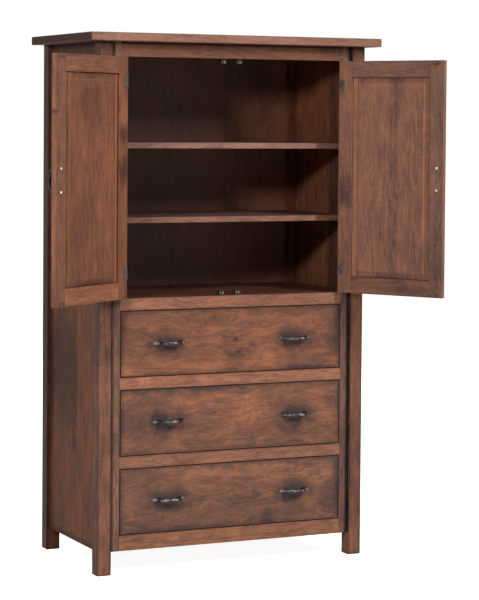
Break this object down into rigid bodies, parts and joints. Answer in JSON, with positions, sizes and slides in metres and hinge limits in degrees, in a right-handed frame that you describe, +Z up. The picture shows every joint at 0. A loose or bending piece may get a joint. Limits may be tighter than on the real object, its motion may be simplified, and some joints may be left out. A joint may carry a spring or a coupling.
{
  "type": "tv armoire",
  "caption": "Free-standing tv armoire: two hinged raised-panel doors over a shelved compartment, full-width drawers on runners below, post-and-panel case under an overhanging top.",
  "frame": {"origin": "on the floor under the middle of the bounding box, which takes in the doors as they stand open", "axes": "+X to the right seen from the front, +Y to the back, +Z up"},
  "size_m": [1.3982, 0.9096, 1.829],
  "materials": {
    "case_wood": "brown stain, hand-rubbed satin",
    "frame_wood": "brown stain, satin, burnished in the corners",
    "drawer_wood": "brown stain, satin, dark burnished edges",
    "door_wood": "brown stain, satin",
    "inner_wood": "brown stain, satin",
    "secondary_wood": "clear sealed maple",
    "pull_iron": "dark waxed forged iron",
    "hinge_steel": "satin dark bronze",
    "bright_steel": "zinc plated",
    "roller_plastic": "moulded"
  },
  "bodies": {
    "case": {"top_slab": "case_wood", "post_front_left": "case_wood", "post_front_right": "case_wood", "post_rear_left": "case_wood", "post_rear_right": "case_wood", "face_stile_left": "frame_wood", "face_stile_right": "frame_wood", "bottom_rail": "frame_wood", "drawer_rail_lower": "frame_wood", "drawer_rail_upper": "frame_wood", "deck_rail": "frame_wood", "top_rail": "frame_wood", "side_panel_left": "case_wood", "side_panel_right": "case_wood", "back_panel": "inner_wood", "rear_rails": "secondary_wood", "compartment_floor": "inner_wood", "side_cleats": "secondary_wood", "bottom_panel": "secondary_wood", "shelf_lower": "inner_wood", "shelf_upper": "inner_wood", "shelf_pins": "bright_steel", "drawer_runners": "secondary_wood", "hinge_case_leaves": "hinge_steel", "catch_bodies": "bright_steel", "catch_rollers": "roller_plastic"},
    "door_left": {"door_left_hinge_stile": "door_wood", "door_left_lock_stile": "door_wood", "door_left_top_rail": "door_wood", "door_left_bottom_rail": "door_wood", "door_left_panel": "door_wood", "door_left_pull": "pull_iron", "door_left_pull_screws": "bright_steel", "door_left_hinge_leaves": "hinge_steel", "door_left_strikes": "bright_steel"},
    "door_right": {"door_right_hinge_stile": "door_wood", "door_right_lock_stile": "door_wood", "door_right_top_rail": "door_wood", "door_right_bottom_rail": "door_wood", "door_right_panel": "door_wood", "door_right_pull": "pull_iron", "door_right_pull_screws": "bright_steel", "door_right_hinge_leaves": "hinge_steel", "door_right_strikes": "bright_steel"},
    "drawer_1": {"drawer_1_front": "drawer_wood", "drawer_1_sides": "secondary_wood", "drawer_1_back": "secondary_wood", "drawer_1_bottom": "secondary_wood", "drawer_1_pulls": "pull_iron"},
    "drawer_2": {"drawer_2_front": "drawer_wood", "drawer_2_sides": "secondary_wood", "drawer_2_back": "secondary_wood", "drawer_2_bottom": "secondary_wood", "drawer_2_pulls": "pull_iron"},
    "drawer_3": {"drawer_3_front": "drawer_wood", "drawer_3_sides": "secondary_wood", "drawer_3_back": "secondary_wood", "drawer_3_bottom": "secondary_wood", "drawer_3_pulls": "pull_iron"}
  },
  "joints": [
    {"name": "door_left_hinge", "type": "hinge", "parent": "case", "child": "door_left", "pos_m": [-0.36049, -0.08598, 1.342], "axis": [0, 0, -1], "range_deg": [-145, 20]},
    {"name": "door_right_hinge", "type": "hinge", "parent": "case", "child": "door_right", "pos_m": [0.47451, -0.08598, 1.342], "axis": [0, 0, 1], "range_deg": [-121, 44]},
    {"name": "drawer_1_slide", "type": "slide", "parent": "case", "child": "drawer_1", "axis": [0, -1, 0], "range_m": [0, 0.38]},
    {"name": "drawer_2_slide", "type": "slide", "parent": "case", "child": "drawer_2", "axis": [0, -1, 0], "range_m": [0, 0.38]},
    {"name": "drawer_3_slide", "type": "slide", "parent": "case", "child": "drawer_3", "axis": [0, -1, 0], "range_m": [0, 0.38]}
  ]
}
